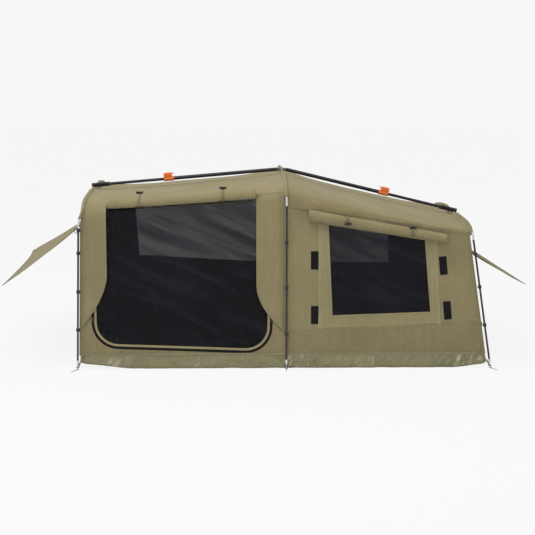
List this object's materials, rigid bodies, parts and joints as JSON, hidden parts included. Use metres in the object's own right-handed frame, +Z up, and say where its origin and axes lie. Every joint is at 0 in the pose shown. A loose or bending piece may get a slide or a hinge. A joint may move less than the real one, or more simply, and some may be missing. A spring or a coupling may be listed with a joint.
{
  "type": "swag tent",
  "caption": "Hooped canvas swag tent with a telescopic ridge pole, mesh door and windows, end awnings and a mattress in a coated tub.",
  "frame": {"origin": "on the ground under the middle of the tub", "axes": "+X towards the low foot end, -Y towards the side with the door, +Z up"},
  "size_m": [2.75, 1.5278, 0.9842],
  "materials": {
    "canvas": "plain-woven ripstop cotton canvas, matt, khaki",
    "canvas_roof": "plain-woven ripstop cotton canvas, matt, sunlit khaki",
    "tub_fabric": "coated heavy-duty fabric, olive, soft sheen",
    "insect_mesh": "fine black knitted mesh",
    "zip": "black coil zip on woven tape",
    "foam": "foam in a knitted grey cover",
    "leg_metal": "dark anodised alloy tube",
    "alloy": "bare satin alloy",
    "ridge_black": "black powder-coated steel tube",
    "orange_plastic": "moulded nylon, satin orange",
    "steel": "zinc-plated steel wire",
    "black_plastic": "moulded black plastic and webbing"
  },
  "bodies": {
    "tent": {"arch_foot": "alloy", "arch_head": "alloy", "arch_mid": "alloy", "back_roll_foot": "canvas", "back_roll_head": "canvas", "back_wall": "canvas", "back_window_mesh_foot": "insect_mesh", "back_window_mesh_head": "insect_mesh", "base_tub": "tub_fabric", "clip_tape_foot_far": "black_plastic", "clip_tape_foot_near": "black_plastic", "clip_tape_head_far": "black_plastic", "clip_tape_head_near": "black_plastic", "clip_tape_mid_far": "black_plastic", "clip_tape_mid_near": "black_plastic", "door_mesh": "insect_mesh", "door_roll": "canvas", "door_zip": "zip", "foot_wall": "canvas", "foot_window_mesh": "insect_mesh", "front_wall": "canvas", "front_window_mesh": "insect_mesh", "head_wall": "canvas", "head_window_mesh": "insect_mesh", "leg_foot_far": "leg_metal", "leg_foot_near": "leg_metal", "leg_head_far": "leg_metal", "leg_head_near": "leg_metal", "leg_mid_far": "leg_metal", "leg_mid_near": "leg_metal", "mattress": "foam", "peg_foot_far": "steel", "peg_foot_near": "steel", "peg_head_far": "steel", "peg_head_near": "steel", "peg_mid_far": "steel", "peg_mid_near": "steel", "ridge_hub": "alloy", "roof": "canvas_roof", "sleeve_foot": "canvas", "sleeve_head": "canvas", "sleeve_mid": "canvas", "storm_flap_foot": "canvas", "storm_flap_head": "canvas", "window_roll": "canvas"},
    "ridge_arm_head": {"ridge_outer_tube_head": "ridge_black", "lock_clamp_head": "orange_plastic"},
    "ridge_arm_foot": {"ridge_outer_tube_foot": "ridge_black", "lock_clamp_foot": "orange_plastic"},
    "ridge_slide_head": {"ridge_inner_tube_head": "ridge_black", "ridge_end_fitting_head": "black_plastic"},
    "ridge_slide_foot": {"ridge_inner_tube_foot": "ridge_black", "ridge_end_fitting_foot": "black_plastic"},
    "lever_head": {"lock_lever_head": "orange_plastic"},
    "lever_foot": {"lock_lever_foot": "orange_plastic"},
    "awning_head": {"head_flap": "canvas"},
    "awning_foot": {"foot_flap": "canvas"},
    "slider_head": {"zip_slider_head": "black_plastic"},
    "slider_foot": {"zip_slider_foot": "black_plastic"}
  },
  "joints": [
    {"name": "ridge_hinge_head", "type": "hinge", "parent": "tent", "child": "ridge_arm_head", "pos_m": [-0.01, 0, 0.97537], "axis": [0, 1, 0], "range_deg": [0, 80]},
    {"name": "ridge_hinge_foot", "type": "hinge", "parent": "tent", "child": "ridge_arm_foot", "pos_m": [0.018, 0, 0.97537], "axis": [0, -1, 0], "range_deg": [0, 80]},
    {"name": "ridge_telescope_head", "type": "slide", "parent": "ridge_arm_head", "child": "ridge_slide_head", "axis": [0.9964, 0, 0.0853], "range_m": [0, 0.3]},
    {"name": "ridge_telescope_foot", "type": "slide", "parent": "ridge_arm_foot", "child": "ridge_slide_foot", "axis": [-0.972, 0, 0.2351], "range_m": [0, 0.295]},
    {"name": "lever_pivot_head", "type": "hinge", "parent": "ridge_arm_head", "child": "lever_head", "pos_m": [-0.64248, 0, 0.94229], "axis": [0, -1, 0], "range_deg": [0, 120]},
    {"name": "lever_pivot_foot", "type": "hinge", "parent": "ridge_arm_foot", "child": "lever_foot", "pos_m": [0.59737, 0, 0.85685], "axis": [0, 1, 0], "range_deg": [0, 120]},
    {"name": "awning_hem_head", "type": "hinge", "parent": "tent", "child": "awning_head", "pos_m": [-1.0187, 0, 0.74], "axis": [0, 1, 0], "range_deg": [-45, 30]},
    {"name": "awning_hem_foot", "type": "hinge", "parent": "tent", "child": "awning_foot", "pos_m": [0.94437, 0, 0.598], "axis": [0, -1, 0], "range_deg": [-40, 30]},
    {"name": "zip_travel_head", "type": "slide", "parent": "tent", "child": "slider_head", "axis": [0, 0.0037, 1], "range_m": [0, 0.4]},
    {"name": "zip_travel_foot", "type": "slide", "parent": "tent", "child": "slider_foot", "axis": [0, 0.0049, 1], "range_m": [0, 0.4]}
  ]
}
